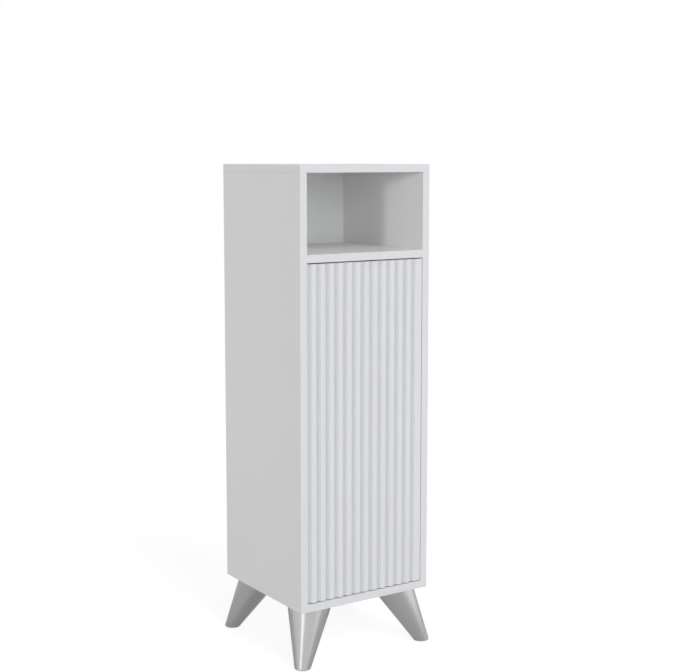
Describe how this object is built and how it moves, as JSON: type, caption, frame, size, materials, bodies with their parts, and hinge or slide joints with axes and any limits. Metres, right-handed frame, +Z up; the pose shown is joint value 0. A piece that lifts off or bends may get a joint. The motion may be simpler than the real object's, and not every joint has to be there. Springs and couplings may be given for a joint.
{
  "type": "bathroom cabinet",
  "caption": "Narrow mid-height cabinet with an open niche above a vertically fluted, inset push-to-open door, raised on splayed tapered legs.",
  "frame": {"origin": "on the floor, under the middle of the cabinet's outline", "axes": "+Z up; the front with the door faces -Y; +X is to the right for someone who faces the front"},
  "size_m": [0.37, 0.365, 1.13],
  "materials": {
    "white_board": "satin white melamine facing on particle board",
    "white_back": "white lacquered hardboard",
    "white_edge_band": "satin white edge band",
    "fluted_front": "matt white foil on fibreboard",
    "satin_leg": "satin silver",
    "nickel_fitting": "nickel plated",
    "zinc_fitting": "zinc plated",
    "beech": "plain beech",
    "grey_plastic": "moulded",
    "white_plastic": "moulded",
    "black_plastic": "moulded"
  },
  "bodies": {
    "carcass": {"left_side_panel": "white_board", "right_side_panel": "white_board", "top_panel": "white_board", "bottom_panel": "white_board", "niche_shelf": "white_board", "adjustable_shelf_lower": "white_board", "adjustable_shelf_upper": "white_board", "back_panel": "white_back", "left_side_edge_band": "white_edge_band", "right_side_edge_band": "white_edge_band", "top_panel_edge_bands": "white_edge_band", "bottom_panel_edge_band": "white_edge_band", "niche_shelf_edge_band": "white_edge_band", "adjustable_shelf_edge_bands": "white_edge_band", "shelf_pins": "nickel_fitting", "cam_locks": "zinc_fitting", "cam_bolts": "zinc_fitting", "wood_dowels": "beech", "hinge_plate_lower": "nickel_fitting", "hinge_plate_upper": "nickel_fitting", "hinge_arm_lower": "nickel_fitting", "hinge_arm_upper": "nickel_fitting", "hinge_plate_screws": "zinc_fitting", "hinge_arm_screws": "zinc_fitting", "push_latch_body": "grey_plastic", "push_latch_screws": "zinc_fitting", "leg_front_left": "satin_leg", "leg_front_right": "satin_leg", "leg_rear_left": "satin_leg", "leg_rear_right": "satin_leg", "leg_mounting_plates": "black_plastic", "leg_plate_screws": "zinc_fitting", "leg_studs": "zinc_fitting", "leg_glides": "grey_plastic"},
    "door": {"door_panel": "fluted_front", "hinge_cup_lower": "nickel_fitting", "hinge_cup_upper": "nickel_fitting", "hinge_cup_screws": "zinc_fitting", "hinge_pins": "nickel_fitting", "strike_plate": "nickel_fitting", "strike_plate_screw": "zinc_fitting"},
    "latch_plunger": {"push_latch_plunger": "white_plastic", "push_latch_spring": "zinc_fitting"}
  },
  "joints": [
    {"name": "door_swing", "type": "hinge", "parent": "carcass", "child": "door", "pos_m": [-0.144, -0.1625, 0.53175], "axis": [0, 0, -1], "range_deg": [0, 100]},
    {"name": "latch_press", "type": "slide", "parent": "carcass", "child": "latch_plunger", "axis": [0, 1, 0], "range_m": [0, 0.0025], "stiffness_N_per_m": 400, "springref_m": -0.005}
  ]
}
